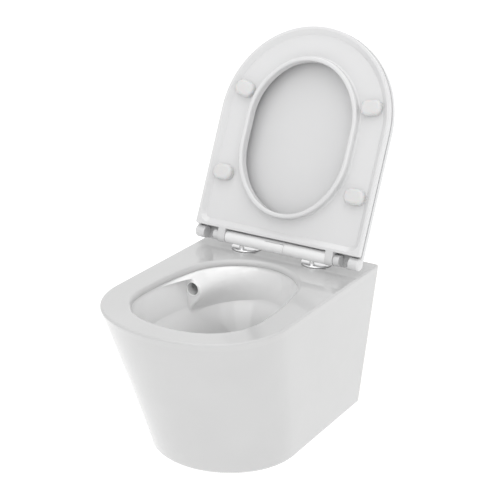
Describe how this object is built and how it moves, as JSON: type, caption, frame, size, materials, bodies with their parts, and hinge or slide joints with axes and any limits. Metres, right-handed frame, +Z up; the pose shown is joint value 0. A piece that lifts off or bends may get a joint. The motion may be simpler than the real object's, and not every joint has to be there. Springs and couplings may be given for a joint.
{
  "type": "wall hung toilet",
  "caption": "Wall hung toilet: rimless round-fronted bowl on a concealed wall fixing, with an open seat and lid on one soft-close hinge bar that has a release button.",
  "frame": {"origin": "midway between the two wall studs, on the wall plane", "axes": "+Z up, -Y to the user, +X to the right as seen from the front; the wall is the plane y = 0"},
  "size_m": [0.359, 0.6077, 0.7141],
  "materials": {
    "vitreous_china": "gloss",
    "white_thermoset": "gloss",
    "hinge_plastic": "gloss",
    "hinge_plate": "satin",
    "stainless_steel": "satin",
    "spring_steel": "satin",
    "soft_pad": "matte",
    "nylon": "matte"
  },
  "bodies": {
    "pan": {"pan": "vitreous_china", "rim": "vitreous_china", "stud_rib_left": "vitreous_china", "stud_rib_right": "vitreous_china", "bowl": "vitreous_china", "trap": "vitreous_china", "flush_way": "vitreous_china", "stud_sleeve_left": "nylon", "stud_sleeve_right": "nylon", "stud_washer_left": "stainless_steel", "stud_washer_right": "stainless_steel", "plate_gasket_left": "soft_pad", "plate_gasket_right": "soft_pad", "hinge_plate_left": "hinge_plate", "hinge_plate_right": "hinge_plate", "hinge_post_left": "stainless_steel", "hinge_post_right": "stainless_steel", "hinge_bolt_left": "stainless_steel", "hinge_bolt_right": "stainless_steel", "expansion_plug_left": "nylon", "expansion_plug_right": "nylon", "plug_nut_left": "stainless_steel", "plug_nut_right": "stainless_steel", "hinge_bar": "hinge_plastic", "seat_damper": "nylon", "lid_damper": "nylon", "button_spring": "spring_steel"},
    "lid": {"lid": "white_thermoset", "lid_buffer_left": "soft_pad", "lid_buffer_right": "soft_pad", "lid_shaft": "stainless_steel", "lid_bush": "nylon"},
    "seat": {"seat_ring": "white_thermoset", "seat_buffer_front_left": "soft_pad", "seat_buffer_front_right": "soft_pad", "seat_buffer_rear_left": "soft_pad", "seat_buffer_rear_right": "soft_pad", "seat_shaft": "stainless_steel", "seat_bush": "nylon"},
    "button": {"release_button": "hinge_plastic"},
    "latch_left": {"latch_left": "nylon"},
    "latch_right": {"latch_right": "nylon"}
  },
  "joints": [
    {"name": "lid_hinge", "type": "hinge", "parent": "pan", "child": "lid", "pos_m": [0, -0.072, 0.1028], "axis": [1, 0, 0], "range_deg": [0, 115]},
    {"name": "seat_hinge", "type": "hinge", "parent": "pan", "child": "seat", "pos_m": [0, -0.072, 0.1028], "axis": [1, 0, 0], "range_deg": [0, 115]},
    {"name": "button_press", "type": "slide", "parent": "pan", "child": "button", "axis": [0, 1, 0], "range_m": [0, 0.003], "stiffness_N_per_m": 400, "springref_m": -0.002, "deforming": ["button_spring"]},
    {"name": "latch_left_slide", "type": "slide", "parent": "pan", "child": "latch_left", "axis": [1, 0, 0], "range_m": [0, 0.0025]},
    {"name": "latch_right_slide", "type": "slide", "parent": "pan", "child": "latch_right", "axis": [-1, 0, 0], "range_m": [0, 0.0025]}
  ],
  "couplings": [
    {"joint": "seat_hinge", "follows": "lid_hinge", "ratio": 1},
    {"joint": "latch_left_slide", "follows": "button_press", "ratio": 0.8333},
    {"joint": "latch_right_slide", "follows": "button_press", "ratio": 0.8333}
  ]
}
